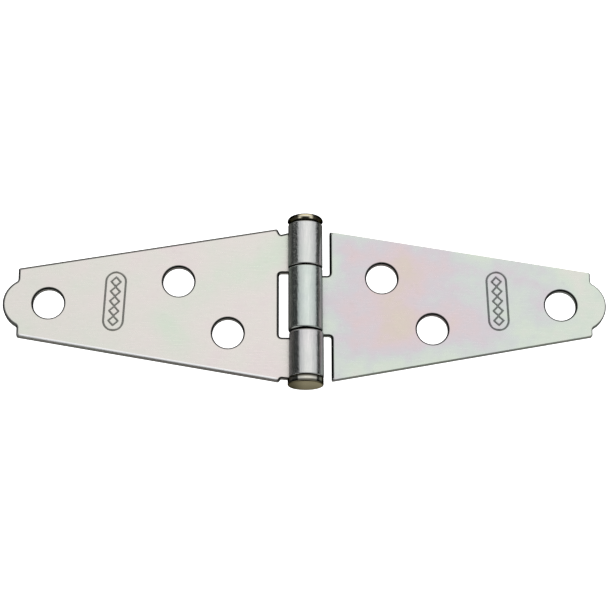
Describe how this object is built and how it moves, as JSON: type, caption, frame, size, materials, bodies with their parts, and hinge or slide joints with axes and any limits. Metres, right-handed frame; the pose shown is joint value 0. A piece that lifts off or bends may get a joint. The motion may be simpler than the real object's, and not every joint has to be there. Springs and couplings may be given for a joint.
{
  "type": "strap hinge",
  "caption": "Light surface-mounted strap hinge: tapered sheet-metal leaves with screw holes and round lobed tips, rolled into knuckles on a fixed headed pin.",
  "frame": {"origin": "under the middle of the pin, level with the flat backs of both leaves", "axes": "+X along the one-knuckle leaf, -X along the two-knuckle leaf, +Y along the pin towards its domed head, +Z out of the front faces, away from the surface the hinge is screwed to"},
  "size_m": [0.1016, 0.0295, 0.006],
  "materials": {
    "zinc_sheet": "bright zinc-plated steel sheet with a thin clear passivate that shows faint pink, green and straw tints",
    "zinc_pin": "zinc-plated steel wire, headed cold; straw and olive tint on the heads"
  },
  "bodies": {
    "two_knuckle_side": {"two_knuckle_leaf": "zinc_sheet", "hinge_pin": "zinc_pin"},
    "one_knuckle_side": {"one_knuckle_leaf": "zinc_sheet"}
  },
  "joints": [
    {"name": "leaf_swing", "type": "hinge", "parent": "two_knuckle_side", "child": "one_knuckle_side", "pos_m": [0, 0, 0.003], "axis": [0, -1, 0], "range_deg": [-105, 180]}
  ]
}
